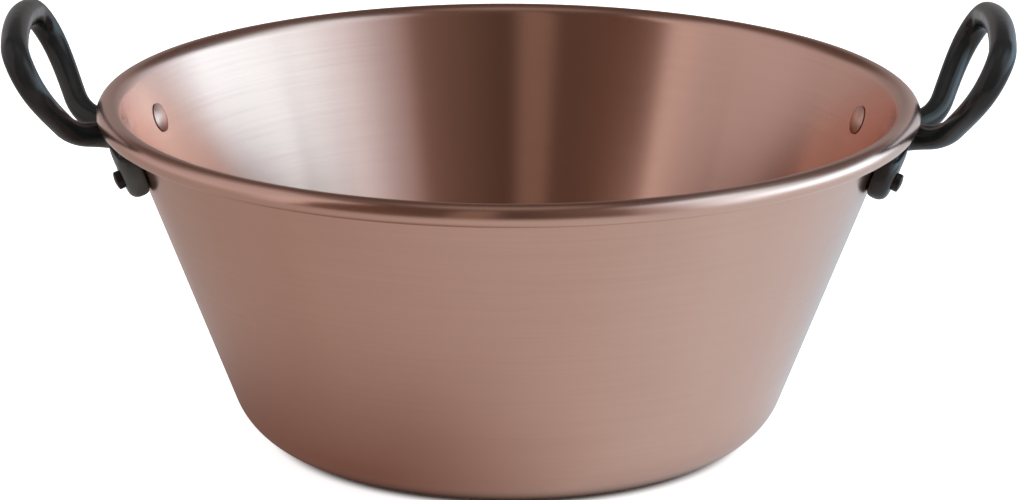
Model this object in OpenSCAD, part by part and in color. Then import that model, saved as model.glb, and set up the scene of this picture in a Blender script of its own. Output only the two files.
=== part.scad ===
// Copper jam pan: a wide flared pan with a wired rim and two riveted iron loop handles.
// Millimetres. The origin is the centre of the underside, +Z is up, and the handles are on +X and -X.

/* [Pan] */
// Diameter over the rolled rim
rim_d = 380; // [340:1:420]
// Height from the underside to the top of the rim
pan_h = 161; // [140:1:185]
// Thickness of the copper sheet
wall_t = 1.5; // [1.2:0.1:2]
// Lean of the wall, in degrees from upright
wall_lean = 20.9; // [16:0.1:24]
// Outer radius of the bend between the base and the wall
corner_r = 33; // [20:1:42]

/* [Rolled rim] */
// Diameter of the steel wire that the sheet is rolled around
wire_d = 6.8; // [5:0.1:8]
// Extra radius of the sheet's bend where it leaves the wall for the roll
rim_ease = 1.5; // [0.5:0.1:3]
// Width of the seam left open where the edge of the sheet meets the wall
seam_w = 0.5; // [0.3:0.1:1]

/* [Rivets] */
// Angle from a handle's middle to each of its rivets, in degrees round the pan
rivet_angle = 15.5; // [12:0.5:17]
// Depth of the rivets below the top of the rim
rivet_drop = 23.5; // [20:0.5:30]
// Diameter of the rivet shank
shank_d = 6; // [4:0.5:7]
// Diameter of the rivet head inside the pan
inner_head_d = 14; // [10:0.5:16]
// Height of the rivet head inside the pan
inner_head_h = 1.8; // [1.5:0.1:4]
// Diameter of the formed head outside the handle
outer_head_d = 8.5; // [7:0.5:12]
// Height of the formed head outside the handle
outer_head_h = 3.5; // [2:0.1:5]

/* [Handle lugs] */
// Width of a lug
lug_w = 22; // [18:0.5:24]
// Thickness of a lug
lug_t = 9.5; // [6:0.5:10.5]

/* [Handle loop] */
// Half the distance between the two arms at the rim
neck_half = 9.5; // [9:0.5:18]
// Half the distance between the two arms at their widest
loop_half = 47.5; // [40:0.5:58]
// Length of the loop, measured along its bend from the lugs to the top bar
loop_len = 70; // [58:1:85]
// Radius of the two top corners of the loop, to the middle of the bar
loop_corner_r = 16; // [14:1:24]
// Rise of the top bar's middle above its ends
loop_crown = 3.5; // [0.5:0.5:6]
// Slope of the arms where they leave the rim, in degrees from level
neck_slope = 10; // [0:1:20]
// Slope of the loop above its bend, in degrees from level
loop_slope = 62; // [50:1:80]
// Length of the level part of the arms, before the bend
level_len = 13; // [10:0.5:20]
// Radius of the bend, to the middle of the arm
bend_r = 14.5; // [11:1:26]
// Diameter of an arm at the lug
root_d = 12.4; // [10:0.1:13]
// Diameter of an arm at its thinnest
arm_d = 10.9; // [9:0.1:13]
// Diameter of the top bar
grip_d = 12.8; // [11:0.1:16]

/* [Clearances] */
// Gap between pieces that are seated on each other
seat_gap = 0.1; // [0.05:0.05:0.3]
// Gap all round a rivet shank in its holes
hole_gap = 0.1; // [0.05:0.05:0.3]
// Gap all round the wire inside its roll
wire_gap = 0.15; // [0.1:0.05:0.4]

/* [Hidden] */
$fn = 96;

copper = "#c98f78";
steel = "#9a9da0";
iron = "#26272a";

// Overlap where two solids of one piece are joined
join = 0.5;
// Length that a cutter runs past what it cuts
past = 1;

// The roll and the wall, in the plane of a radius: x is the distance from the pan's axis
roll_r = wire_d / 2 + wire_gap + wall_t;
roll_c = [rim_d / 2 - roll_r, pan_h - roll_r];
wall_up = [sin(wall_lean), cos(wall_lean)];
// Middle of the wider bend that takes the sheet from the wall over into the roll
ease_c = roll_c - rim_ease * wall_up;

// Distance from the roll's middle to the wall's outer face
wall_off = roll_r + rim_ease - wall_t;

// Radius of the wall's face at a height, "depth" inside the outer face
function wall_r(z, depth = 0) =
    roll_c.x + ((z - roll_c.y) * sin(wall_lean) - wall_off - depth) / cos(wall_lean);

// Where the flat base ends and the corner begins
base_r = wall_r(corner_r, corner_r);
corner_c = [base_r, corner_r];

rivet_z = pan_h - rivet_drop;
rivet_r = wall_r(rivet_z);

// The arms pass just under the roll, so their height follows from it
lug_mid = seat_gap + lug_t / 2;
arm_below_roll = roll_r + root_d / 2 + seat_gap;
neck_z = (
    roll_c.y - arm_below_roll / cos(neck_slope)
    - (roll_c.x - wall_r(0, -lug_mid)) * tan(neck_slope)
) / (1 - tan(wall_lean) * tan(neck_slope));
neck_x = wall_r(neck_z, -lug_mid);

// Ring counts along the arm, round a top corner and along half of the top bar, and sides of a ring
ARM_STEPS = 22;
CORNER_STEPS = 9;
BAR_STEPS = 7;
SIDES = 20;

// Faces round the corner, over the bend into the roll and round the roll
CORNER_FACES = 16;
EASE_FACES = 7;
ROLL_FACES = 24;
// Faces round a lug's outline
LUG_FACES = 48;

// Points along an arc, both ends included
function arc(middle, r, from, to, steps) = [for (i = [0 : steps])
    let (a = from + (to - from) * i / steps)
    middle + r * [cos(a), sin(a)]];

function smooth(t) = t * t * (3 - 2 * t);
function mix(a, b, t) = a + (b - a) * t;

// Outline of half the loop, laid flat: [half width, length from the lugs]
shoulder = loop_len - loop_corner_r;
bar_half = loop_half - loop_corner_r;
// The top bar is one long arc, tangent to both corners
crown_drop = (bar_half * bar_half - loop_crown * loop_crown) / (2 * loop_crown);
crown_r = loop_corner_r + loop_crown + crown_drop;
crown_angle = atan(bar_half / crown_drop);
outline = concat(
    [for (i = [0 : ARM_STEPS])
        let (t = i / ARM_STEPS)
        [mix(neck_half, loop_half, smooth(t)), shoulder * t]],
    [for (i = [1 : CORNER_STEPS])
        let (a = (90 - crown_angle) * i / CORNER_STEPS)
        [bar_half + loop_corner_r * cos(a), shoulder + loop_corner_r * sin(a)]],
    [for (i = [1 : BAR_STEPS])
        let (a = crown_angle * (1 - i / BAR_STEPS))
        [crown_r * sin(a), loop_len + loop_crown - crown_r * (1 - cos(a))]]
);

// The flat outline is bent in side view: level, then round the bend, then straight
bend_angle = loop_slope - neck_slope;
bend_len = bend_r * bend_angle * PI / 180;
function lean(s) = neck_slope + bend_angle * min(max(s - level_len, 0), bend_len) / bend_len;
function side_x(s) =
    neck_x + min(s, level_len) * cos(neck_slope)
    + bend_r * (sin(lean(s)) - sin(neck_slope))
    + max(s - level_len - bend_len, 0) * cos(loop_slope);
function side_z(s) =
    neck_z + min(s, level_len) * sin(neck_slope)
    + bend_r * (cos(neck_slope) - cos(lean(s)))
    + max(s - level_len - bend_len, 0) * sin(loop_slope);

// Radius of the bar, from its thick root through the slim arm to the grip
function bar_r(s) =
    s < shoulder / 2
        ? mix(root_d, arm_d, smooth(2 * s / shoulder)) / 2
        : mix(arm_d, grip_d, smooth(min(1, (s - shoulder / 2) / (loop_len - shoulder / 2)))) / 2;

// The whole loop, from one lug round to the other: [point, radius, lean]
half_loop = [for (p = outline) [[side_x(p[1]), p[0], side_z(p[1])], bar_r(p[1]), lean(p[1])]];
half_n = len(half_loop);
loop = concat(
    half_loop,
    [for (i = [half_n - 2 : -1 : 0])
        let (h = half_loop[i])
        [[h[0].x, -h[0].y, h[0].z], h[1], h[2]]]
);

function unit(v) = v / norm(v);
function tangent(i) =
    i == 0 ? [cos(neck_slope), 0, sin(neck_slope)]
    : i == len(loop) - 1 ? [-cos(neck_slope), 0, -sin(neck_slope)]
    : unit(loop[i + 1][0] - loop[i - 1][0]);

// A round bar along the loop: one ring of points at each station, closed by a flat end at each lug
module bar() {
    rings = [for (i = [0 : len(loop) - 1])
        let (
            up = [-sin(loop[i][2]), 0, cos(loop[i][2])],
            across = unit(cross(tangent(i), up)),
            lift = cross(across, tangent(i))
        )
        for (k = [0 : SIDES - 1])
            let (a = 360 * k / SIDES)
            loop[i][0] + loop[i][1] * (cos(a) * across + sin(a) * lift)];
    last = (len(loop) - 1) * SIDES;
    skin = [for (i = [0 : len(loop) - 2], k = [0 : SIDES - 1])
        let (
            a = i * SIDES + k,
            b = i * SIDES + (k + 1) % SIDES
        )
        each [[a, b, a + SIDES], [b, b + SIDES, a + SIDES]]];
    ends = [
        [for (k = [SIDES - 1 : -1 : 0]) k],
        [for (k = [0 : SIDES - 1]) last + k]
    ];
    polyhedron(points = rings, faces = concat(skin, ends));
}

// Puts children on the outer face of the wall at a rivet of the right handle. Their +Z points
// straight out of the wall, and their -X points up along it. Side is 1 at the back and -1 in front.
module at_rivet(side) {
    rotate([0, 0, side * rivet_angle])
        translate([rivet_r, 0, rivet_z])
            rotate([0, 90 + wall_lean, 0])
                children();
}

// Band that follows the outer face of the wall, from one distance off it to another
module wall_band(near, far, z_low, z_high) {
    rotate_extrude()
        polygon([
            [wall_r(z_low, -near), z_low],
            [wall_r(z_low, -far), z_low],
            [wall_r(z_high, -far), z_high],
            [wall_r(z_high, -near), z_high]
        ]);
}

// Outline of a lug, flat: wide and round at the rivet, narrowing to the arm's root
module lug_outline(reach) {
    hull() {
        circle(lug_w / 2, $fn = LUG_FACES);
        translate([reach, 0]) circle(root_d / 2, $fn = LUG_FACES);
    }
}

// A lug lies on the wall, under the roll, from the root of its arm to its rivet
module lug(side) {
    aside = neck_x * sin(rivet_angle) - neck_half * cos(rivet_angle);
    above = (neck_z - rivet_z) / cos(wall_lean);
    reach = norm([aside, above]);
    intersection() {
        wall_band(seat_gap, seat_gap + lug_t, rivet_z - lug_w, roll_c.y - roll_r - seat_gap);
        at_rivet(side)
            rotate([0, 0, atan2(-side * aside, -above)])
                translate([0, 0, -lug_t])
                    linear_extrude(3 * lug_t)
                        lug_outline(reach);
    }
}

module rivet_hole(side) {
    at_rivet(side)
        translate([0, 0, -wall_t - past])
            cylinder(d = shank_d + 2 * hole_gap, h = wall_t + lug_t + seat_gap + 2 * past);
}

// Section of the sheet in the plane of a radius. It runs out along the floor, up the inside of the
// wall, over and round the roll to its seam, and back down the outside.
module sheet_section() {
    inside_bend = corner_r - wall_t;
    ease_out = roll_r + rim_ease;
    seam = -180 - wall_lean + acos(min(1, (wall_off - seam_w) / roll_r));
    polygon(concat(
        [[0, wall_t]],
        arc(corner_c, inside_bend, -90, -wall_lean, CORNER_FACES),
        arc(ease_c, ease_out, 180 - wall_lean, 90 - wall_lean, EASE_FACES),
        arc(roll_c, roll_r, 90 - wall_lean, seam, ROLL_FACES),
        arc(roll_c, roll_r - wall_t, seam, 90 - wall_lean, ROLL_FACES),
        arc(ease_c, ease_out - wall_t, 90 - wall_lean, 180 - wall_lean, EASE_FACES),
        arc(corner_c, corner_r, -wall_lean, -90, CORNER_FACES),
        [[0, 0]]
    ));
}

// One spun copper sheet: the base, the wall and the rolled rim
module pan_body() {
    color(copper)
        difference() {
            rotate_extrude()
                sheet_section();
            for (turn = [0, 180], side = [-1, 1])
                rotate([0, 0, turn])
                    rivet_hole(side);
        }
}

// The wire that stiffens the rim
module rim_wire() {
    color(steel)
        rotate_extrude()
            translate(roll_c)
                circle(d = wire_d);
}

// One casting: the loop that is held, and the two lugs that are riveted to the wall
module handle_right() {
    color(iron)
        difference() {
            union() {
                bar();
                lug(1);
                lug(-1);
            }
            rivet_hole(1);
            rivet_hole(-1);
        }
}

module handle_left() {
    mirror([1, 0, 0]) handle_right();
}

// A rivet head: a cap of a sphere on a flat underside at z = 0, rising to the height
module head(d, h) {
    ball_r = (d * d / 4 + h * h) / (2 * h);
    intersection() {
        translate([0, 0, h - ball_r]) sphere(ball_r);
        cylinder(d = d + past, h = h + past);
    }
}

// The formed head outside: a short drum with a crowned end
module drum_head(d, h) {
    crown = h / 4;
    ball_r = (d * d / 4 + crown * crown) / (2 * crown);
    intersection() {
        translate([0, 0, h - ball_r]) sphere(ball_r);
        cylinder(d = d, h = h + past);
    }
}

// A rivet through the wall and the lug. The wall is hollow inside, so the flat underside of
// the inner head stands off by the depth of that hollow.
module rivet(side) {
    hollow = pow(inner_head_d / 2, 2) / (2 * rivet_r / cos(wall_lean));
    inside = -(wall_t + hollow + seat_gap);
    outside = lug_t + 2 * seat_gap;
    color(copper)
        at_rivet(side)
            union() {
                translate([0, 0, inside - join])
                    cylinder(d = shank_d, h = outside - inside + 2 * join);
                translate([0, 0, inside])
                    mirror([0, 0, 1]) head(inner_head_d, inner_head_h);
                translate([0, 0, outside])
                    drum_head(outer_head_d, outer_head_h);
            }
}

module rivet_right_front() { rivet(-1); }
module rivet_right_back() { rivet(1); }
module rivet_left_front() { mirror([1, 0, 0]) rivet(-1); }
module rivet_left_back() { mirror([1, 0, 0]) rivet(1); }

pan_body();
rim_wire();
handle_left();
handle_right();
rivet_left_front();
rivet_left_back();
rivet_right_front();
rivet_right_back();
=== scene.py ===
"""Looks of a copper jam pan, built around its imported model.

Everything is in metres. The origin is the centre of the underside, +Z is up,
and the handles are on +X and -X.
"""

from __future__ import annotations

import logging
from collections.abc import Callable, Iterable, Sequence
from dataclasses import dataclass, field
from enum import Enum
from math import acos, asin, atan2, cos, dist, hypot, pi, radians, sin, tan
from typing import Any

import bmesh
import bpy
import numpy as np
from bpy.types import ID, Material, Mesh, Node, NodeSocket, NodeTree, Object
from mathutils import Matrix, Vector

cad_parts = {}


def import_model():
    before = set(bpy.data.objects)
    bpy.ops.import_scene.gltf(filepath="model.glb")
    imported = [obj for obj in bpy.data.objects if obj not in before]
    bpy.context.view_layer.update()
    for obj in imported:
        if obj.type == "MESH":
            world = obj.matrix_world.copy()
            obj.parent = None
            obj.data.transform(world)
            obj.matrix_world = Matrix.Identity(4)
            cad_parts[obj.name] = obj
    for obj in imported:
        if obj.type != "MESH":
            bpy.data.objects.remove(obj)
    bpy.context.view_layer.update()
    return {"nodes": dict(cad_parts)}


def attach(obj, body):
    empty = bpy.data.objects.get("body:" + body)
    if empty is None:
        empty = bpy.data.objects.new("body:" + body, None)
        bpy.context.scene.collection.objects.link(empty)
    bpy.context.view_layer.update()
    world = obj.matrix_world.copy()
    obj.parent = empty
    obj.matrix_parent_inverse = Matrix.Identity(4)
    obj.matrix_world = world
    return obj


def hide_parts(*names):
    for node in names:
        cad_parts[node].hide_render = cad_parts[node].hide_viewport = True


LOG = logging.getLogger("jam_pan")
BODY = "root"
PHOTO_WIDTH_PX = 1024
SENSOR_MM = 36.0
TOP_LIGHT = 3.6
RING_STEPS = 96
PAN_MIDDLE = (0.0, 0.0, 0.1)
MM = 0.001

NEXT_TO_NOTHING = 1e-8

Colour = tuple[float, float, float]
Point = tuple[float, float]
Span = tuple[float, float]
Faces = list[tuple[int, ...]]
Settings = dict[str, Any]
Inputs = dict[str | int, Any]


# Shader maths


class Port:
    """A value on its way through a material: one output socket, with the usual operators."""

    def __init__(self, graph: Graph, socket: NodeSocket) -> None:
        """Keeps an output socket and the graph that new nodes go into."""
        self.graph = graph
        self.socket = socket

    def __add__(self, other: Port | float) -> Port:
        """Sum."""
        return self.graph.math("ADD", self, other)

    def __radd__(self, other: float) -> Port:
        """Sum, with the number first."""
        return self.graph.math("ADD", other, self)

    def __sub__(self, other: Port | float) -> Port:
        """Difference."""
        return self.graph.math("SUBTRACT", self, other)

    def __rsub__(self, other: float) -> Port:
        """Difference, with the number first."""
        return self.graph.math("SUBTRACT", other, self)

    def __mul__(self, other: Port | float) -> Port:
        """Product."""
        return self.graph.math("MULTIPLY", self, other)

    def __rmul__(self, other: float) -> Port:
        """Product, with the number first."""
        return self.graph.math("MULTIPLY", other, self)

    def __truediv__(self, other: Port | float) -> Port:
        """Quotient."""
        return self.graph.math("DIVIDE", self, other)

    def __rtruediv__(self, other: float) -> Port:
        """Quotient, with the number first."""
        return self.graph.math("DIVIDE", other, self)

    def over(self, low: float, high: float) -> Port:
        """Rises smoothly from 0 at low to 1 at high, which may be the lower of the two."""
        return self.graph.port(
            "ShaderNodeMapRange",
            {"interpolation_type": "SMOOTHSTEP"},
            {"Value": self, "From Min": low, "From Max": high},
            "Result",
        )


class Graph:
    """The nodes of one material or of the world."""

    def __init__(self, tree: NodeTree) -> None:
        """Empties a node tree and keeps it to be filled."""
        self.tree = tree
        self.tree.nodes.clear()

    def node(self, kind: str, settings: Settings | None = None, inputs: Inputs | None = None) -> Node:
        """Adds a node.

        Args:
            kind: The node's type.
            settings: Its own settings, which are set before its sockets.
            inputs: A value or a link for each socket, by name or by index.

        Returns:
            The new node.
        """
        made = self.tree.nodes.new(kind)
        for name, value in (settings or {}).items():
            if name == "stops":
                self._stops(made, value)
            else:
                setattr(made, name, value)
        for name, value in (inputs or {}).items():
            socket = made.inputs[name]
            if isinstance(value, Port):
                self.tree.links.new(value.socket, socket)
            else:
                socket.default_value = value
        return made

    @staticmethod
    def _stops(node: Node, stops: Sequence[tuple[float, Colour]]) -> None:
        """Sets the stops of a colour ramp.

        Args:
            node: The ramp.
            stops: Position and colour of each stop, in order.
        """
        elements = node.color_ramp.elements
        while len(elements) < len(stops):
            elements.new(1.0)
        for element, (place, colour) in zip(elements, stops, strict=True):
            element.position = place
            element.color = (*colour, 1.0)

    def port(
        self,
        kind: str,
        settings: Settings | None = None,
        inputs: Inputs | None = None,
        output: str | int = 0,
    ) -> Port:
        """Adds a node and gives one of its outputs, by name or by index."""
        return Port(self, self.node(kind, settings, inputs).outputs[output])

    def math(self, operation: str, *values: Port | float) -> Port:
        """Adds a Math node that works on the values in order."""
        return self.port("ShaderNodeMath", {"operation": operation}, dict(enumerate(values)))

    def blend(self, first: Port | Colour, second: Port | Colour, share: Port | float) -> Port:
        """Mixes two colours by the share of the second, at a Mix node's inputs 6 and 7 and output 2."""
        sides = {i: v if isinstance(v, Port) else (*v, 1.0) for i, v in ((6, first), (7, second))}
        return self.port("ShaderNodeMix", {"data_type": "RGBA"}, {0: share, **sides}, 2)

    def place(self) -> Port:
        """The point on the surface, in metres."""
        return self.port("ShaderNodeTexCoord", output="Object")

    def split(self, vector: Port) -> tuple[Port, Port, Port]:
        """The three parts of a vector."""
        parts = self.node("ShaderNodeSeparateXYZ", None, {0: vector}).outputs
        return Port(self, parts[0]), Port(self, parts[1]), Port(self, parts[2])

    def join(self, x: Port | float, y: Port | float, z: Port | float) -> Port:
        """A vector from its three parts."""
        return self.port("ShaderNodeCombineXYZ", None, {0: x, 1: y, 2: z})

    def scaled(self, vector: Port, by: Sequence[float]) -> Port:
        """A vector, multiplied part by part."""
        return self.port("ShaderNodeVectorMath", {"operation": "MULTIPLY"}, {0: vector, 1: by})

    def noise(self, vector: Port, scale: float, detail: float = 2.0, rough: float = 0.5) -> Port:
        """Soft noise from 0 to 1, with finer layers that are as strong as rough says."""
        inputs = {"Vector": vector, "Scale": scale, "Detail": detail, "Roughness": rough}
        return self.port("ShaderNodeTexNoise", {"noise_dimensions": "3D"}, inputs, "Fac")

    def bump(self, height: Port, strength: float, depth: float) -> Port:
        """A normal from a height of 0 to 1, where 1 stands for a depth in metres."""
        inputs = {"Height": height, "Strength": strength, "Distance": depth}
        return self.port("ShaderNodeBump", None, inputs)

    def principled(self, colour: Port | Colour, roughness: Port | float, more: Inputs) -> Port:
        """Adds a Principled BSDF."""
        base = colour if isinstance(colour, Port) else (*colour, 1.0)
        inputs = {"Base Color": base, "Roughness": roughness, **more}
        return self.port("ShaderNodeBsdfPrincipled", None, inputs)

    def finish_surface(self, shader: Port) -> None:
        """Sends a shader to the surface output."""
        self.node("ShaderNodeOutputMaterial", None, {"Surface": shader})


class Finish:
    """A finish: a name and the nodes that make it."""

    name = "plain"

    def material(self) -> Material:
        """Makes the material.

        Returns:
            The new material.
        """
        made = bpy.data.materials.new(self.name)
        made.use_nodes = True
        graph = Graph(made.node_tree)
        graph.finish_surface(self.shader(graph))
        return made

    def shader(self, graph: Graph) -> Port:
        """Lays out the finish's nodes in a graph and gives the shader."""
        raise NotImplementedError


@dataclass(frozen=True)
class SatinCopper(Finish):
    """Spun copper, brushed round and round while it turned on the lathe."""

    name: str = "satin_copper"
    bright: Colour = (0.80, 0.50, 0.40)
    dull: Colour = (0.66, 0.38, 0.29)
    roughness: float = 0.235
    fine_swing: float = 0.05
    broad_swing: float = 0.03
    anisotropy: float = 0.93
    quarter_turn: float = 0.25
    fine_pitch: float = 0.45 * MM
    broad_pitch: float = 2.6 * MM
    arc_detail: float = 1.3
    cloud_scale: float = 14.0
    cloud_rough: float = 0.55
    fine_share: float = 0.3
    broad_share: float = 0.25
    cloud_share: float = 0.6
    dull_rise: Span = (0.27, 0.97)
    dull_most: float = 0.4

    def shader(self, graph: Graph) -> Port:
        """Streaks that run round the pan, over soft clouds of duller metal."""
        place = graph.place()
        x, y, z = graph.split(place)
        radius = graph.math("SQRT", x * x + y * y + NEXT_TO_NOTHING)
        along = radius + z
        east, north = x / radius * self.arc_detail, y / radius * self.arc_detail
        fine = graph.noise(graph.join(east, north, along / self.fine_pitch), 1.0)
        broad = graph.noise(graph.join(east, north, along / self.broad_pitch), 1.0)
        clouds = graph.noise(place, self.cloud_scale, detail=3.0, rough=self.cloud_rough)
        dulled = fine * self.fine_share + broad * self.broad_share + clouds * self.cloud_share
        share = dulled.over(*self.dull_rise) * self.dull_most
        roughness = self.roughness + (fine - 0.5) * self.fine_swing + (broad - 0.5) * self.broad_swing
        colour = graph.blend(self.bright, self.dull, share)
        stretch = {"Anisotropic": self.anisotropy, "Anisotropic Rotation": self.quarter_turn}
        return graph.principled(colour, roughness, {"Metallic": 1.0, **stretch})


@dataclass(frozen=True)
class BlackIron(Finish):
    """Cast iron under gloss black enamel, a little worn and more so on the lugs, and with painted light
    that makes the left lugs lighter.
    """

    name: str = "black_iron"
    black: Colour = (0.013, 0.016, 0.017)
    worn: Colour = (0.020, 0.022, 0.022)
    # Painted light: the left lugs take this lighter colour because light falls on them.
    left_lug_painted_light: Colour = (0.092, 0.098, 0.092)
    right_lug: Colour = (0.026, 0.028, 0.029)
    lug_height: float = 147 * MM
    fade: float = 7 * MM
    sheen: Colour = (1.0, 0.77, 0.68)
    roughness: float = 0.20
    ior: float = 1.43
    grain_scale: float = 900.0
    lump_scale: float = 160.0
    patch_scale: float = 45.0
    grain_depth: float = 0.4
    patch_rise: Span = (0.42, 0.72)
    patch_wear: float = 0.7
    patch_swing: float = 0.08
    grain_swing: float = 0.05
    lug_swing: float = 0.08
    bump: float = 0.15
    bump_depth: float = 0.08 * MM

    def shader(self, graph: Graph) -> Port:
        """Black with a fine skin of casting grain and duller patches, worn lugs, and painted light on
        the left lugs.
        """
        place = graph.place()
        grain = graph.noise(place, self.grain_scale, detail=3.0, rough=0.6)
        lumps = graph.noise(place, self.lump_scale)
        patches = graph.noise(place, self.patch_scale, detail=3.0, rough=0.6).over(*self.patch_rise)
        x, _, z = graph.split(place)
        # Below the lug height the lugs take a worn colour, with painted light that makes the left (-X)
        # ones lighter.
        low = z.over(self.lug_height, self.lug_height - self.fade)
        lug = graph.blend(self.right_lug, self.left_lug_painted_light, x.over(self.fade, -self.fade))
        skin = graph.blend(self.black, self.worn, patches * self.patch_wear)
        lug_wear_and_light_share = low * (self.patch_wear + patches * (1 - self.patch_wear))
        duller = patches * self.patch_swing + (grain - 0.5) * self.grain_swing + low * self.lug_swing
        normal = graph.bump(grain * self.grain_depth + lumps, self.bump, self.bump_depth)
        gloss = {"IOR": self.ior, "Specular Tint": (*self.sheen, 1.0), "Normal": normal}
        return graph.principled(graph.blend(skin, lug, lug_wear_and_light_share), self.roughness + duller, gloss)


@dataclass(frozen=True)
class RivetCopper(Finish):
    """Copper rivet, pressed and wiped clean."""

    name: str = "rivet_copper"
    bright: Colour = (0.73, 0.44, 0.35)
    dark: Colour = (0.38, 0.19, 0.13)
    roughness: float = 0.38
    scuff_scale: Colour = (900.0, 900.0, 260.0)
    scuff_swing: float = 0.12
    stain_scale: float = 320.0
    stain_rise: Span = (0.5, 0.8)
    stain_most: float = 0.35
    bump: float = 0.12
    bump_depth: float = 0.05 * MM

    def shader(self, graph: Graph) -> Port:
        """Copper with faint scuffs."""
        place = graph.place()
        scuffs = graph.noise(graph.scaled(place, self.scuff_scale), 1.0)
        stains = graph.noise(place, self.stain_scale, detail=3.0).over(*self.stain_rise)
        colour = graph.blend(self.bright, self.dark, stains * self.stain_most)
        roughness = self.roughness + (scuffs - 0.5) * self.scuff_swing
        normal = graph.bump(scuffs, self.bump, self.bump_depth)
        return graph.principled(colour, roughness, {"Metallic": 1.0, "Normal": normal})


@dataclass(frozen=True)
class DrawnSteel(Finish):
    """Plain drawn steel wire."""

    name: str = "drawn_steel"
    grey: Colour = (0.56, 0.57, 0.58)
    dark_share: float = 0.8
    roughness: float = 0.35
    mark_scale: float = 400.0
    mark_swing: float = 0.1

    def shader(self, graph: Graph) -> Port:
        """Grey steel with faint draw marks."""
        marks = graph.noise(graph.place(), self.mark_scale)
        dark = tuple(self.dark_share * part for part in self.grey)
        roughness = self.roughness + (marks - 0.5) * self.mark_swing
        return graph.principled(graph.blend(self.grey, dark, marks), roughness, {"Metallic": 1.0})


# Mesh tools


def arc(middle: Point, radius: float, start: float, end: float, steps: int) -> list[Point]:
    """Points along an arc from one angle to another in radians, both ends included."""
    angles = [start + (end - start) * i / steps for i in range(steps + 1)]
    return [(middle[0] + radius * cos(a), middle[1] + radius * sin(a)) for a in angles]


def line(start: Point, end: Point, steps: int, margin: float = 0.0) -> list[Point]:
    """Points strictly between two points, with one close to each end where a margin is given.

    Args:
        start: The first point, which isn't among the result.
        end: The last point, which isn't either.
        steps: How many steps the middle takes.
        margin: The distance from each end of the points that hold the shading there.

    Returns:
        The points, in order.
    """
    length = dist(start, end)
    shares = [i / steps for i in range(1, steps)]
    if margin:
        shares = [margin / length, *shares, 1 - margin / length]
    return [(start[0] + (end[0] - start[0]) * s, start[1] + (end[1] - start[1]) * s) for s in shares]


def linked(name: str, data: ID) -> Object:
    """Makes an object from its data and puts it in the scene."""
    made = bpy.data.objects.new(name, data)
    bpy.context.scene.collection.objects.link(made)
    return made


def tube_faces(rings: int, count: int) -> Faces:
    """Faces between rings of points, and one that closes each end.

    Args:
        rings: How many rings there are.
        count: How many points each has.

    Returns:
        The faces.
    """
    faces: Faces = []
    for i in range(rings - 1):
        for k in range(count):
            a, b = i * count + k, i * count + (k + 1) % count
            faces.append((a, b, b + count, a + count))
    last = (rings - 1) * count
    return [*faces, tuple(range(count)), tuple(range(last, last + count))]


def new_piece(
    name: str,
    points: np.ndarray,
    faces: Iterable[Sequence[int]],
    materials: Sequence[Material],
    picks: Sequence[int] | None = None,
    crease: float = radians(40),
) -> Object:
    """Makes a smooth-shaded mesh object with its normals pointing outwards.

    Args:
        name: The piece's name.
        points: Its points, one row each.
        faces: The point numbers of each face.
        materials: Its materials.
        picks: The material number of each face, or None where there is only one.
        crease: The angle above which an edge stays sharp.

    Returns:
        The new object, in the scene.
    """
    mesh = bpy.data.meshes.new(name)
    mesh.from_pydata([tuple(map(float, p)) for p in points], [], [tuple(f) for f in faces])
    for material in materials:
        mesh.materials.append(material)
    if picks is not None:
        mesh.polygons.foreach_set("material_index", list(picks))
    work = bmesh.new()
    work.from_mesh(mesh)
    bmesh.ops.recalc_face_normals(work, faces=work.faces)
    work.to_mesh(mesh)
    work.free()
    mesh.shade_smooth()
    mesh.set_sharp_from_angle(angle=crease)
    made = linked(name, mesh)
    return made


def spun(profile: Sequence[Point], segments: int) -> tuple[np.ndarray, Faces, list[int]]:
    """Turns a profile round the Z axis.

    Args:
        profile: Radius and height of each point. The first and the last lie on the axis.
        segments: How many steps a turn takes.

    Returns:
        The points, the faces, and the number of the profile step that each face lies on.
    """
    angles = np.arange(segments) * 2 * pi / segments
    rings = [
        np.column_stack([r * np.cos(angles), r * np.sin(angles), np.full(segments, z)])
        for r, z in profile[1:-1]
    ]
    tips = np.array([(0.0, 0.0, profile[0][1]), (0.0, 0.0, profile[-1][1])])
    points = np.vstack([*rings, tips])
    first_tip = len(rings) * segments
    faces: Faces = []
    steps: list[int] = []
    for k in range(segments):
        after = (k + 1) % segments
        faces.append((first_tip, after, k))
        steps.append(0)
        for i in range(len(rings) - 1):
            near, far = i * segments, (i + 1) * segments
            faces.append((near + k, near + after, far + after, far + k))
            steps.append(i + 1)
        last = (len(rings) - 1) * segments
        faces.append((last + k, last + after, first_tip + 1))
        steps.append(len(rings))
    return points, faces, steps


def smooth(t: float) -> float:
    """Eases a share from 0 to 1."""
    return t * t * (3 - 2 * t)


def mix(a: float, b: float, t: float) -> float:
    """The value a share t of the way from a to b."""
    return a + (b - a) * t


# The pan


@dataclass
class Wall:
    """Sizes of the spun sheet and the lines that follow from them."""

    rim_d: float = 380 * MM
    height: float = 161 * MM
    sheet: float = 1.5 * MM
    lean: float = radians(20.9)
    corner_r: float = 33 * MM
    wire_d: float = 6.8 * MM
    wire_gap: float = 0.15 * MM
    rim_ease: float = 1.5 * MM
    seam_w: float = 0.5 * MM

    @property
    def roll_r(self) -> float:
        """Outer radius of the roll."""
        return self.wire_d / 2 + self.wire_gap + self.sheet

    @property
    def roll_c(self) -> Point:
        """Middle of the roll, in the plane of a radius."""
        return self.rim_d / 2 - self.roll_r, self.height - self.roll_r

    @property
    def wall_off(self) -> float:
        """Distance from the roll's middle to the wall's outer face."""
        return self.roll_r + self.rim_ease - self.sheet

    def radius(self, z: float, depth: float = 0.0) -> float:
        """Radius of the wall at a height, on its outer face or a depth inside it."""
        rise = (z - self.roll_c[1]) * sin(self.lean)
        return self.roll_c[0] + (rise - self.wall_off - depth) / cos(self.lean)


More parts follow.
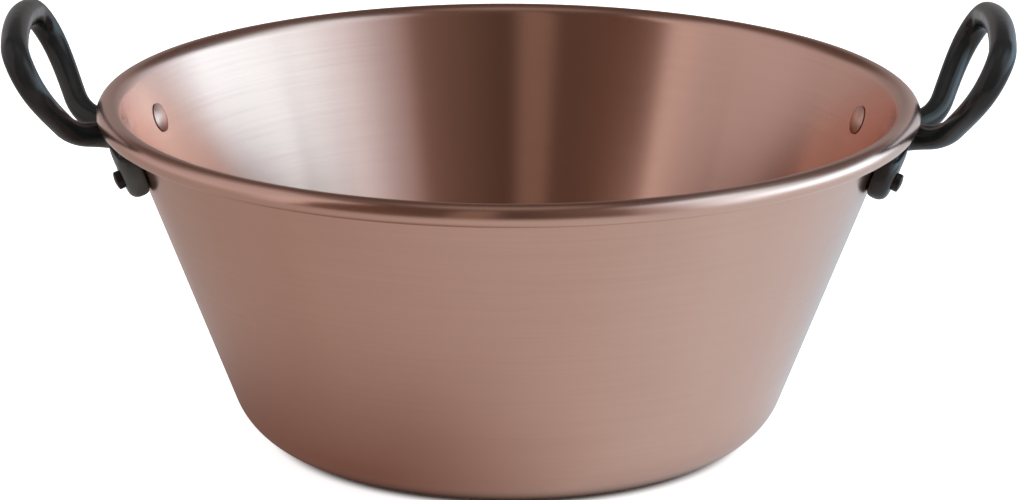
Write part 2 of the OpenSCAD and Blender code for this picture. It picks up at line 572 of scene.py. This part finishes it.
@dataclass
class PanBody:
    """The spun copper sheet: base, wall and rolled rim."""

    wall: Wall
    segments: int = 480
    corner_steps: int = 24
    ease_steps: int = 10
    roll_steps: int = 36
    wall_steps: int = 12
    floor_steps: int = 6
    hold: float = 0.6 * MM
    trim: float = 0.07 * MM

    def profile(self) -> list[Point]:
        """Section of the sheet, from the middle of the floor over the rim to the underside."""
        w = self.wall
        lean, ease_out, inside_bend = w.lean, w.roll_r + w.rim_ease, w.corner_r - w.sheet
        corner_c = (w.radius(w.corner_r, w.corner_r), w.corner_r)
        ease_c = (
            w.roll_c[0] - w.rim_ease * sin(lean),
            w.roll_c[1] - w.rim_ease * cos(lean),
        )
        seam = -pi - lean + acos(min(1.0, (w.wall_off - w.seam_w) / w.roll_r))
        up = pi / 2 - lean
        inside = arc(corner_c, inside_bend, -pi / 2, -lean, self.corner_steps)
        over = arc(ease_c, ease_out, pi - lean, up, self.ease_steps)
        outside = arc(corner_c, w.corner_r, -lean, -pi / 2, self.corner_steps)
        under = arc(ease_c, ease_out - w.sheet, up, pi - lean, self.ease_steps)
        middle_top, middle_low = (0.0, w.sheet), (0.0, 0.0)
        return [
            middle_top,
            *line(middle_top, inside[0], self.floor_steps, self.hold),
            *inside,
            *line(inside[-1], over[0], self.wall_steps, self.hold),
            *over,
            *arc(w.roll_c, w.roll_r - self.trim, up, seam, self.roll_steps)[1:],
            *arc(w.roll_c, w.roll_r - w.sheet, seam, up, self.roll_steps),
            *under[1:],
            *line(under[-1], outside[0], self.wall_steps, self.hold),
            *outside,
            *line(outside[-1], middle_low, self.floor_steps, self.hold),
            middle_low,
        ]

    def build(self, copper: Material) -> Object:
        """Makes the pan's body, which stands for its CAD node.

        Args:
            copper: The sheet's material.

        Returns:
            The new piece.
        """
        points, faces, _ = spun(self.profile(), self.segments)
        made = new_piece("pan_sheet", points, faces, [copper])
        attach(made, BODY)
        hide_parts("pan_body")
        return made


class Named(Enum):
    """A choice whose name is part of a piece's name."""

    @property
    def word(self) -> str:
        """The choice in lower case."""
        return self.name.lower()


class Side(Named):
    """The two sides of the pan that have a handle."""

    RIGHT = 1
    LEFT = -1


class End(Named):
    """The two lugs of a handle."""

    BACK = 1
    FRONT = -1


@dataclass
class RivetPlace:
    """Where the rivets go through the wall."""

    wall: Wall
    angle: float = radians(15.5)
    drop: float = 23.5 * MM
    seat_gap: float = 0.1 * MM

    @property
    def height(self) -> float:
        """Height of the rivets."""
        return self.wall.height - self.drop

    def matrix(self, end: End) -> Matrix:
        """Turns a rivet's own axes into the pan's, on the right side.

        Args:
            end: The lug.

        Returns:
            The matrix. Its +Z points straight out of the wall, and its -X up along it.
        """
        out = Matrix.Translation((self.wall.radius(self.height), 0, self.height))
        turn = Matrix.Rotation(end.value * self.angle, 4, "Z")
        tilt = Matrix.Rotation(pi / 2 + self.wall.lean, 4, "Y")
        return turn @ out @ tilt


def mirrored(points: np.ndarray, side: Side) -> np.ndarray:
    """Points of the right side, put on the side that is asked for."""
    return points * np.array([side.value, 1.0, 1.0])


@dataclass
class Handle:
    """An iron casting: a loop that is held, and two lugs that are riveted to the wall."""

    wall: Wall
    place: RivetPlace
    lug_w: float = 22 * MM
    lug_t: float = 9.5 * MM
    neck_half: float = 9.5 * MM
    loop_half: float = 47.5 * MM
    loop_len: float = 70 * MM
    loop_corner_r: float = 16 * MM
    loop_crown: float = 3.5 * MM
    neck_slope: float = radians(10)
    loop_slope: float = radians(62)
    level_len: float = 13 * MM
    bend_r: float = 14.5 * MM
    root_d: float = 12.4 * MM
    arm_d: float = 10.9 * MM
    grip_d: float = 12.8 * MM
    swell: float = 0.02 * MM
    edge_r: float = 4.6 * MM
    foot_r: float = 2.2 * MM
    cap_share: float = 0.55
    voxel: float = 0.55 * MM
    smoothing: int = 26
    arm_steps: int = 60
    corner_steps: int = 24
    bar_steps: int = 18
    sides: int = 40
    lug_steps: int = 96
    flank_steps: int = 10
    foot_steps: int = 7
    edge_steps: int = 10
    seat_tries: int = 6
    _mesh: Mesh | None = field(default=None, repr=False)

    def neck(self) -> Point:
        """Distance out and height of the place where the arm leaves the lug."""
        w = self.wall
        lug_mid = self.place.seat_gap + self.lug_t / 2
        below = w.roll_r + self.root_d / 2 + self.place.seat_gap
        slope = tan(self.neck_slope)
        height = w.roll_c[1] - below / cos(self.neck_slope)
        height -= (w.roll_c[0] - w.radius(0, -lug_mid)) * slope
        height /= 1 - tan(w.lean) * slope
        return w.radius(height, -lug_mid), height

    def outline(self) -> list[Point]:
        """Half of the loop laid flat: half width, and length from the lugs."""
        shoulder = self.loop_len - self.loop_corner_r
        bar_half = self.loop_half - self.loop_corner_r
        arm = [
            (mix(self.neck_half, self.loop_half, smooth(t)), shoulder * t)
            for t in np.linspace(0, 1, self.arm_steps + 1)
        ]
        # The top bar is one long arc, tangent to both corners
        drop = (bar_half**2 - self.loop_crown**2) / (2 * self.loop_crown)
        crown_r = self.loop_corner_r + self.loop_crown + drop
        meet = atan2(drop, bar_half)
        corner = arc((bar_half, shoulder), self.loop_corner_r, 0, meet, self.corner_steps)
        bar = arc((0.0, shoulder - drop), crown_r, meet, pi / 2, self.bar_steps)
        return [*arm, *corner[1:], *bar[1:]]

    def station(self, half: float, s: float) -> tuple[Vector, float, float]:
        """One station of the bent loop.

        Args:
            half: Half width there.
            s: Length from the lugs.

        Returns:
            The point, the bar's radius and the bar's slope.
        """
        turn = self.loop_slope - self.neck_slope
        bend_len = self.bend_r * turn
        slope = self.neck_slope + turn * min(max(s - self.level_len, 0), bend_len) / bend_len
        level, rest = min(s, self.level_len), max(s - self.level_len - bend_len, 0)
        neck_x, neck_z = self.neck()
        x = neck_x + level * cos(self.neck_slope) + rest * cos(self.loop_slope)
        x += self.bend_r * (sin(slope) - sin(self.neck_slope))
        z = neck_z + level * sin(self.neck_slope) + rest * sin(self.loop_slope)
        z += self.bend_r * (cos(self.neck_slope) - cos(slope))
        shoulder = (self.loop_len - self.loop_corner_r) / 2
        if s < shoulder:
            thick = mix(self.root_d, self.arm_d, smooth(s / shoulder))
        else:
            share = min(1, (s - shoulder) / (self.loop_len - shoulder))
            thick = mix(self.arm_d, self.grip_d, smooth(share))
        return Vector((x, half, z)), float(thick / 2 + self.swell), float(slope)

    def bar(self) -> tuple[np.ndarray, Faces]:
        """A round bar along the loop, closed at both ends."""
        half = [self.station(*p) for p in self.outline()]
        back = [(Vector((p.x, -p.y, p.z)), r, slope) for p, r, slope in reversed(half[:-1])]
        loop = half + back
        start = Vector((cos(self.neck_slope), 0, sin(self.neck_slope)))
        rings = []
        for i, (point, radius, slope) in enumerate(loop):
            if i == 0:
                ahead = start
            elif i == len(loop) - 1:
                ahead = -start
            else:
                ahead = (loop[i + 1][0] - loop[i - 1][0]).normalized()
            up = Vector((-sin(slope), 0, cos(slope)))
            across = ahead.cross(up).normalized()
            lift = across.cross(ahead)
            for k in range(self.sides):
                a = 2 * pi * k / self.sides
                rings.append(point + radius * (cos(a) * across + sin(a) * lift))
        return np.array(rings), tube_faces(len(loop), self.sides)

    def lug(self, end: End) -> tuple[np.ndarray, Faces]:
        """A lug with rounded edges, which lies on the wall from its rivet up to its arm.

        Args:
            end: Which lug.

        Returns:
            Its points and faces.
        """
        w, angle, gap = self.wall, self.place.angle, self.place.seat_gap
        neck_x, neck_z = self.neck()
        aside = neck_x * sin(angle) - self.neck_half * cos(angle)
        above = (neck_z - self.place.height) / cos(w.lean)
        reach = hypot(aside, above)
        ahead = np.array([-above, -end.value * aside]) / reach
        beside = np.array([-ahead[1], ahead[0]])
        wide, slim = self.lug_w / 2, self.root_d / 2
        open_angle = acos((wide - slim) / reach)
        # Round the rivet, then round the arm's root: each spot's place on the middle line,
        # and how far and at what angle the edge lies from it
        spots: list[tuple[float, float, float]] = []
        half = self.lug_steps // 2
        for i in range(half + 1):
            a = open_angle + (2 * pi - 2 * open_angle) * i / half
            spots.append((0.0, wide, a))
        for i in range(half + 1):
            a = -open_angle + 2 * open_angle * i / half
            spots.append((reach, slim, a))
        loop: list[tuple[np.ndarray, np.ndarray]] = []
        for i, (base, size, a) in enumerate(spots):
            way = np.array([cos(a), sin(a)])
            loop.append((np.array([base, 0.0]), size * way))
            if i in (half, len(spots) - 1):
                nxt_base, nxt_size, nxt_a = spots[(i + 1) % len(spots)]
                nxt_way = np.array([cos(nxt_a), sin(nxt_a)]) * nxt_size
                for k in range(1, self.flank_steps):
                    t = k / self.flank_steps
                    middle = np.array([mix(base, nxt_base, t), 0.0])
                    loop.append((middle, mix(size * way, nxt_way, t)))
        top, low = gap + self.lug_t, gap
        # Each ring: its share of the way out from the middle line, how far it is drawn in,
        # and its distance off the wall
        rings = [(0.0, self.foot_r, low), (self.cap_share, self.foot_r, low)]
        for a in np.linspace(-pi / 2, 0, self.foot_steps):
            rings.append((1.0, self.foot_r * (1 - cos(a)), low + self.foot_r * (1 + sin(a))))
        for a in np.linspace(0, pi / 2, self.edge_steps):
            rings.append((1.0, self.edge_r * (1 - cos(a)), top - self.edge_r * (1 - sin(a))))
        rings += [(self.cap_share, self.edge_r, top), (0.0, self.edge_r, top)]
        matrix = np.array(self.place.matrix(end))
        points = []
        ceiling = w.roll_c[1] - w.roll_r - gap
        for share, inset, off in rings:
            for base, way in loop:
                size = float(np.linalg.norm(way))
                flat = base + way * share * (size - inset) / size
                local = flat[0] * ahead + flat[1] * beside
                points.append(self._on_wall(matrix, local, off))
        points = np.array(points)
        points[:, 2] = np.minimum(points[:, 2], ceiling)
        return points, tube_faces(len(rings), len(loop))

    def _on_wall(self, matrix: np.ndarray, local: np.ndarray, off: float) -> np.ndarray:
        """Finds the point a distance off the wall, straight out from a point of the rivet's plane.

        Args:
            matrix: The rivet's own axes.
            local: The point in the rivet's plane.
            off: Distance off the wall's outer face.

        Returns:
            The point.
        """
        start = matrix[:3, :3] @ np.array([local[0], local[1], 0.0]) + matrix[:3, 3]
        way = matrix[:3, 2]
        t = off
        for _ in range(self.seat_tries):
            p = start + way * t
            miss = hypot(p[0], p[1]) - self.wall.radius(p[2], -off)
            t -= miss * cos(self.wall.lean)
        return start + way * t

    def casting(self) -> tuple[np.ndarray, Faces]:
        """The loop and its lugs as one skin, with the corners between them filled as in a casting."""
        if self._mesh is None:
            points, faces = self.bar()
            for end in End:
                more, more_faces = self.lug(end)
                faces += [tuple(n + len(points) for n in f) for f in more_faces]
                points = np.vstack([points, more])
            rough = new_piece("rough_casting", points, faces, [])
            remesh = rough.modifiers.new("skin", "REMESH")
            remesh.mode, remesh.voxel_size = "VOXEL", self.voxel
            ease = rough.modifiers.new("ease", "SMOOTH")
            ease.factor, ease.iterations = 0.5, self.smoothing
            graph = bpy.context.evaluated_depsgraph_get()
            self._mesh = bpy.data.meshes.new_from_object(rough.evaluated_get(graph))
            bpy.data.objects.remove(rough)
        points = np.zeros(len(self._mesh.vertices) * 3)
        self._mesh.vertices.foreach_get("co", points)
        return points.reshape(-1, 3), [tuple(p.vertices) for p in self._mesh.polygons]

    def build(self, side: Side, iron: Material) -> Object:
        """Makes the handle of one side, which stands for its CAD node.

        Args:
            side: The side.
            iron: The handle's material.

        Returns:
            The new piece.
        """
        points, faces = self.casting()
        made = new_piece(f"handle_{side.word}_casting", mirrored(points, side), faces, [iron])
        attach(made, BODY)
        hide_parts(f"handle_{side.word}")
        return made


@dataclass
class Rivet:
    """A copper rivet: a low dome inside the pan, a shank, and a formed head outside the lug."""

    place: RivetPlace
    lug_t: float = 9.5 * MM
    shank_d: float = 6 * MM
    inner_d: float = 14 * MM
    inner_h: float = 1.8 * MM
    outer_d: float = 8.5 * MM
    outer_h: float = 3.5 * MM
    lip: float = 0.25 * MM
    edge_r: float = 0.8 * MM
    edge_ease: float = 0.6
    edge_turn: float = radians(62)
    chamfer: float = 0.3 * MM
    dome_steps: int = 16
    cap_points: int = 7
    segments: int = 72

    def profile(self) -> tuple[list[Point], int]:
        """Section of the rivet, from the tip inside the pan to the tip outside.

        Returns:
            The points, and the number of the first step that lies on the outer head.
        """
        w, gap = self.place.wall, self.place.seat_gap
        curve = w.radius(self.place.height) / cos(w.lean)
        hollow = (self.inner_d / 2) ** 2 / (2 * curve)
        inside = -(w.sheet + hollow + gap)
        outside = self.lug_t + 2 * gap
        half, rise = self.inner_d / 2, self.inner_h - self.lip
        ball = (half * half + rise * rise) / (2 * rise)
        middle = inside - self.inner_h + ball
        tip = asin(half / ball)
        dome = arc((0.0, middle), ball, -pi / 2, -pi / 2 + tip, self.dome_steps)
        crown = self.outer_h / 4
        drum = self.outer_d / 2
        top = outside + self.outer_h
        low = top - crown - self.edge_r * self.edge_ease
        edge = arc((drum - self.edge_r, low), self.edge_r, 0, self.edge_turn, self.cap_points)
        start_r, start_z = edge[-1]
        shares = np.linspace(0, 1, self.cap_points)
        cap = [(start_r * (1 - t), mix(start_z, top, 1 - (1 - t) ** 2)) for t in shares]
        shank = self.shank_d / 2
        inner = [*dome, (half, inside), (shank, inside), (shank, outside)]
        outer = [(drum - self.chamfer, outside), (drum, outside + self.chamfer), *edge, *cap[1:]]
        return inner + outer, len(inner) - 1

    def build(self, side: Side, end: End, finishes: Sequence[Material]) -> Object:
        """Makes one rivet, which stands for its CAD node.

        Args:
            side: The side of the pan.
            end: The lug.
            finishes: The copper, and the black of the outer head.

        Returns:
            The new piece.
        """
        profile, first_outer = self.profile()
        points, faces, steps = spun(profile, self.segments)
        matrix = np.array(self.place.matrix(end))
        points = points @ matrix[:3, :3].T + matrix[:3, 3]
        picks = [int(step >= first_outer) for step in steps]
        name = f"rivet_{side.word}_{end.word}"
        made = new_piece(f"{name}_set", mirrored(points, side), faces, finishes, picks)
        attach(made, BODY)
        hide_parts(name)
        return made


# The studio


@dataclass
class Camera:
    """The camera that took the photograph, found by fitting it to the outline and the near rim."""

    focal_px: float = 4470.10
    distance: float = 2.000
    height: float = 0.675465
    shift_x: float = 0.004414
    pitch: float = 0.286289
    yaw: float = -0.001336
    roll: float = 0.003

    def build(self) -> Object:
        """Makes the camera and puts it in charge of the scene."""
        cy, sy, cp, sp = cos(self.yaw), sin(self.yaw), cos(self.pitch), sin(self.pitch)
        ahead = Vector((sy * cp, cy * cp, -sp))
        right = Vector((cy, -sy, 0.0))
        up = right.cross(ahead)
        cr, sr = cos(self.roll), sin(self.roll)
        axes = Matrix((cr * right + sr * up, cr * up - sr * right, -ahead)).transposed().to_4x4()
        at = Matrix.Translation((self.shift_x, -self.distance, self.height))
        data = bpy.data.cameras.new("photo_camera")
        data.sensor_width = SENSOR_MM
        data.lens = self.focal_px / PHOTO_WIDTH_PX * SENSOR_MM
        made = linked("photo_camera", data)
        made.matrix_world = at @ axes
        bpy.context.scene.camera = made
        return made


@dataclass(frozen=True)
class Tone:
    """Light that comes from one direction: an azimuth and a colour, which may be brighter than 1.

    Azimuths are in degrees round the pan, from the camera's side, counting towards +X.
    """

    azimuth: float
    light: Colour


def tones(*rows: tuple[float, float, float, float]) -> tuple[Tone, ...]:
    """Tones from rows of an azimuth and a colour's three parts."""
    return tuple(Tone(azimuth, tuple(light)) for azimuth, *light in rows)


def tone_ramp(graph: Graph, tones: Sequence[Tone]) -> Port:
    """Light that changes with the azimuth.

    Args:
        graph: The graph to add to.
        tones: The light at each azimuth, in order from -180 to 180.

    Returns:
        The colour, to be taken TOP_LIGHT times.
    """
    x, y, _ = graph.split(graph.place())
    share = graph.math("ARCTAN2", x, 0.0 - y) / (2 * pi) + 0.5
    stops = [((t.azimuth + 180) / 360, tuple(v / TOP_LIGHT for v in t.light)) for t in tones]
    return graph.port("ShaderNodeValToRGB", {"stops": stops}, {"Fac": share})


def flat_ring(inner: float, outer: float, height: float) -> tuple[list[Sequence[float]], Faces]:
    """A level ring round the Z axis, which faces up.

    Args:
        inner: Its inner radius.
        outer: Its outer radius.
        height: Its height.

    Returns:
        The points and the faces.
    """
    n = RING_STEPS
    angles = [2 * pi * k / n for k in range(n)]
    points = [(r * cos(a), r * sin(a), height) for r in (inner, outer) for a in angles]
    return points, [(k, n + k, n + (k + 1) % n, (k + 1) % n) for k in range(n)]


def stage_card(
    name: str,
    points: Sequence[Sequence[float]],
    faces: Sequence[Sequence[int]],
    colour: Callable[[Graph], Port],
) -> Object:
    """Makes a glowing part of the studio that only mirrored rays see.

    Args:
        name: Its name.
        points: Its points.
        faces: The point numbers of each face.
        colour: Lays out its light, to be taken TOP_LIGHT times.

    Returns:
        The new object, in the scene.
    """
    mesh = bpy.data.meshes.new(name)
    mesh.from_pydata(points, [], faces)
    material = bpy.data.materials.new(name)
    material.use_nodes = True
    graph = Graph(material.node_tree)
    glow = {"Color": colour(graph), "Strength": TOP_LIGHT}
    graph.finish_surface(graph.port("ShaderNodeEmission", None, glow))
    mesh.materials.append(material)
    made = linked(name, mesh)
    for rays in ("camera", "diffuse", "transmission", "volume_scatter", "shadow"):
        setattr(made, f"visible_{rays}", False)
    return made


@dataclass(frozen=True)
class Band:
    """Tones of the studio's walls from the horizon or the last band's top up to its own, in degrees."""

    tones: Sequence[Tone]
    top: float = 90.0


@dataclass
class Dome:
    """The studio's walls and ceiling, seen only in reflections."""

    bands: Sequence[Band]
    distance: float = 3.0
    step: float = 4.0
    merge: float = 5.0

    def build(self) -> Object:
        """Makes the dome."""
        across, upward = round(360 / self.step), round(90 / self.step)
        points, faces = [], []
        for j in range(upward + 1):
            e = pi / 2 * j / upward
            for i in range(across + 1):
                a = 2 * pi * i / across - pi
                flat = self.distance * cos(e)
                points.append((flat * sin(a), -flat * cos(a), self.distance * sin(e)))
        row = across + 1
        for j in range(upward):
            for i in range(across):
                near = j * row + i
                faces.append((near, near + 1, near + 1 + row, near + row))
        return stage_card("studio_dome", points, faces, self.colour)

    def colour(self, graph: Graph) -> Port:
        """The dome's light, from its lowest band up.

        Args:
            graph: The graph to add to.

        Returns:
            The colour, to be taken TOP_LIGHT times.
        """
        _, _, z = graph.split(graph.place())
        made = tone_ramp(graph, self.bands[0].tones)
        for below, band in zip(self.bands, self.bands[1:]):
            start, end = radians(below.top - self.merge), radians(below.top + self.merge)
            share = z.over(self.distance * sin(start), self.distance * sin(end))
            made = graph.blend(made, tone_ramp(graph, band.tones), share)
        return made


@dataclass
class FloorFlag:
    """A grey ring on the floor round the pan, seen only in reflections, as a studio's flags are.

    In front it takes the tones of the walls where it nears them, and painted shade darkens it round the
    pan's foot, most on the left and most of all where the foot meets the floor.
    """

    tones: Sequence[Tone]
    far_tones: Sequence[Tone]
    # Painted shade round the pan's foot: a dark tone, and a near-black one where the foot meets the
    # floor.
    painted_foot_shade: Colour
    painted_seat_shade: Colour = (0.010, 0.008, 0.007)
    inner_r: float = 0.1055
    outer_r: float = 2.99
    height: float = 0.6 * MM
    foot_shade: float = 0.24
    left_shade: float = 0.95
    wall_nears: Span = (0.42, 0.8)
    front: Span = (-0.3, -0.6)
    left: Span = (0.08, -0.08)
    left_reach: Span = (0.23, 0.12)
    foot_reach: Span = (0.15, 0.115)
    seat_reach: Span = (0.123, 0.108)

    def build(self) -> Object:
        """Makes the ring."""
        points, faces = flat_ring(self.inner_r, self.outer_r, self.height)
        return stage_card("floor_flag", points, faces, self.colour)

    def colour(self, graph: Graph) -> Port:
        """The ring's light.

        Args:
            graph: The graph to add to.

        Returns:
            The colour, to be taken TOP_LIGHT times.
        """
        x, y, _ = graph.split(graph.place())
        away = graph.math("SQRT", x * x + y * y)
        open_floor = tone_ramp(graph, self.tones)
        far = away.over(*self.wall_nears) * (y / away).over(*self.front)
        floor = graph.blend(open_floor, tone_ramp(graph, self.far_tones), far)
        # Painted shade: near the pan's foot, and most on its left, the light is blended towards the dark
        # foot tone, and right at the foot towards the near-black seat tone.
        foot = tuple(v / TOP_LIGHT for v in self.painted_foot_shade)
        left = x.over(*self.left) * away.over(*self.left_reach) * self.left_shade
        share = graph.math("MAXIMUM", left, away.over(*self.foot_reach) * self.foot_shade)
        near = away.over(*self.seat_reach)
        return graph.blend(graph.blend(floor, foot, share), self.painted_seat_shade, near * near)


LOW_WALL = tones(
    (-180, 0.26, 0.24, 0.235), (-168, 0.30, 0.28, 0.28), (-155, 0.36, 0.34, 0.35),
    (-140, 0.48, 0.46, 0.48), (-103, 0.62, 0.60, 0.64), (-68, 0.59, 0.57, 0.59),
    (-65, 0.66, 0.64, 0.65), (-55, 0.66, 0.64, 0.65), (-53, 0.14, 0.085, 0.065),
    (-33, 0.13, 0.085, 0.062), (-17, 0.098, 0.072, 0.058), (-14, 0.22, 0.172, 0.145),
    (-5, 0.22, 0.172, 0.145), (-1, 0.076, 0.053, 0.044), (5, 0.082, 0.058, 0.047),
    (15, 0.120, 0.090, 0.074), (31, 0.170, 0.126, 0.114), (33, 0.36, 0.32, 0.33),
    (44, 0.48, 0.50, 0.56), (57, 0.98, 1.30, 1.58), (72, 1.50, 2.25, 2.80),
    (88, 1.75, 2.75, 3.45), (112, 1.70, 2.65, 3.35), (124, 1.15, 1.68, 2.10),
    (136, 0.76, 1.00, 1.22), (148, 0.60, 0.72, 0.84), (162, 0.40, 0.39, 0.41),
    (180, 0.26, 0.24, 0.235),
)
HIGH_WALL = tones(
    (-180, 0.10, 0.07, 0.06), (-135, 0.12, 0.09, 0.08), (-105, 0.54, 0.52, 0.56),
    (-68, 0.57, 0.55, 0.57), (-65, 0.70, 0.66, 0.66), (-55, 0.70, 0.66, 0.66),
    (-53, 0.15, 0.090, 0.070), (-17, 0.098, 0.068, 0.052), (-14, 0.27, 0.21, 0.18),
    (-5, 0.27, 0.21, 0.18), (-1, 0.074, 0.051, 0.042), (15, 0.142, 0.106, 0.088),
    (35, 0.215, 0.160, 0.145), (37, 0.38, 0.35, 0.36), (57, 0.90, 1.15, 1.40),
    (75, 1.10, 1.60, 1.95), (100, 0.60, 0.80, 0.95), (115, 0.12, 0.09, 0.08),
    (180, 0.10, 0.07, 0.06),
)
CEILING = tones(
    (-180, 0.09, 0.065, 0.055), (-100, 0.18, 0.165, 0.16), (-60, 0.09, 0.065, 0.055),
    (180, 0.09, 0.065, 0.055),
)
ZENITH = tones((-180, 0.34, 0.31, 0.30), (180, 0.34, 0.31, 0.30))
FLOOR_TONES = tones(
    (-180, 0.60, 0.59, 0.61), (-150, 0.56, 0.54, 0.55), (-120, 0.40, 0.37, 0.36),
    (-60, 0.42, 0.38, 0.37), (0, 0.535, 0.53, 0.53), (50, 0.62, 0.67, 0.71),
    (90, 0.66, 0.75, 0.82), (130, 0.62, 0.76, 0.86), (155, 0.60, 0.67, 0.72),
    (180, 0.60, 0.59, 0.61),
)
# Painted shade of the floor round the pan's foot, as the copper mirrors it.
PAINTED_FOOT_SHADE = (0.19, 0.115, 0.095)
RIVET_BLACK = (0.008, 0.009, 0.009)


@dataclass
class Studio:
    """A pale floor, a white room, soft lamps, and the grey walls that the copper mirrors.

    The floor is see-through from below and open under the pan's foot, so that its underside can be seen.
    """

    floor_r: float = 14.0
    foot_r: float = 0.0985
    floor_white: Colour = (0.80, 0.80, 0.80)
    floor_roughness: float = 0.9
    world_light: float = 0.55
    floor_glow: float = 0.84
    # Painted contact shadow: the radii over which the floor's glow comes back.
    painted_contact_shadow: Span = (0.1045, 0.114)
    low_wall: Band = Band(LOW_WALL, 26)
    high_wall: Band = Band(HIGH_WALL, 62)
    ceiling: Band = Band(CEILING, 77)
    zenith: Band = Band(ZENITH)

    def floor(self) -> None:
        """Makes the floor: pale, white to the camera and in reflections, with the pan's shadow, and a
        painted contact shadow where its glow fades near the foot.
        """
        points, faces = flat_ring(self.foot_r, self.floor_r, 0.0)
        mesh = bpy.data.meshes.new("floor")
        mesh.from_pydata(points, [], faces)
        material = bpy.data.materials.new("pale_floor")
        material.use_nodes = True
        graph = Graph(material.node_tree)
        paint = graph.principled(self.floor_white, self.floor_roughness, {"Specular IOR Level": 0.0})
        x, y, _ = graph.split(graph.place())
        # Painted contact shadow: the white glow fades out towards the pan's foot.
        clear = graph.math("SQRT", x * x + y * y).over(*self.painted_contact_shadow)
        shown = self.shown(graph) * clear * self.floor_glow
        glow = graph.port("ShaderNodeEmission", None, {"Color": (1, 1, 1, 1), "Strength": shown})
        above = graph.port("ShaderNodeAddShader", None, {0: paint, 1: glow})
        below = graph.port("ShaderNodeBsdfTransparent")
        under = Port(graph, graph.node("ShaderNodeNewGeometry").outputs["Backfacing"])
        graph.finish_surface(graph.port("ShaderNodeMixShader", None, {0: under, 1: above, 2: below}))
        mesh.materials.append(material)
        linked("floor", mesh)

    @staticmethod
    def shown(graph: Graph) -> Port:
        """1 for what the camera sees, also mirrored or through glass, and 0 for light that is cast."""
        rays = graph.node("ShaderNodeLightPath").outputs
        seen = Port(graph, rays["Is Camera Ray"]) + Port(graph, rays["Is Glossy Ray"])
        return graph.math("MINIMUM", seen + Port(graph, rays["Is Transmission Ray"]), 1.0)

    def room(self) -> None:
        """Makes the world: white where it is seen, and an even light elsewhere."""
        world = bpy.data.worlds.new("white_room")
        bpy.context.scene.world = world
        world.use_nodes = True
        graph = Graph(world.node_tree)
        level = self.world_light + self.shown(graph) * (1 - self.world_light)
        sky = graph.port("ShaderNodeBackground", None, {"Color": (1, 1, 1, 1), "Strength": level})
        graph.node("ShaderNodeOutputWorld", None, {"Surface": sky})

    def lamp(self, name: str, at: Sequence[float], size: float, power: float) -> None:
        """Makes a soft square lamp that faces the pan and isn't mirrored in it.

        Args:
            name: The lamp's name.
            at: Where it hangs.
            size: Its side.
            power: Its power in watts.
        """
        data = bpy.data.lights.new(name, "AREA")
        data.shape, data.size, data.energy = "SQUARE", size, power
        made = linked(name, data)
        made.location = at
        made.rotation_euler = (Vector(PAN_MIDDLE) - Vector(at)).to_track_quat("-Z", "Y").to_euler()
        made.visible_glossy = False

    def build(self) -> None:
        """Makes everything in the studio but the camera."""
        scene = bpy.context.scene
        scene.view_settings.view_transform = "Standard"
        self.floor()
        self.room()
        Dome((self.low_wall, self.high_wall, self.ceiling, self.zenith)).build()
        FloorFlag(FLOOR_TONES, LOW_WALL, PAINTED_FOOT_SHADE).build()
        self.lamp("soft_top", at=(0.2, -0.3, 2.4), size=2.2, power=30.0)
        self.lamp("soft_right", at=(2.2, -0.9, 1.3), size=1.6, power=6.0)


def dress_kept_node(frame: dict[str, Any], node: str, material: Material) -> None:
    """Gives a CAD node that stays a better material."""
    for slot in frame["nodes"][node].material_slots:
        slot.material = material


def main() -> None:
    """Builds the pan's pieces and the studio."""
    logging.basicConfig(level=logging.INFO, format="%(message)s")
    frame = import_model()
    wall = Wall()
    place = RivetPlace(wall)
    copper, iron = SatinCopper().material(), BlackIron().material()
    rivet_copper, steel = RivetCopper().material(), DrawnSteel().material()
    blackened = BlackIron(name="rivet_black", left_lug_painted_light=RIVET_BLACK, right_lug=RIVET_BLACK)
    rivet_black = blackened.material()
    made = [PanBody(wall).build(copper)]
    dress_kept_node(frame, "rim_wire", steel)
    handle, rivet = Handle(wall, place), Rivet(place)
    for side in Side:
        made.append(handle.build(side, iron))
        made += [rivet.build(side, end, [rivet_copper, rivet_black]) for end in End]
    for piece in made:
        LOG.info("%s: %d faces", piece.name, len(piece.data.polygons))
    Studio().build()
    Camera().build()


if __name__ == "__main__":
    main()
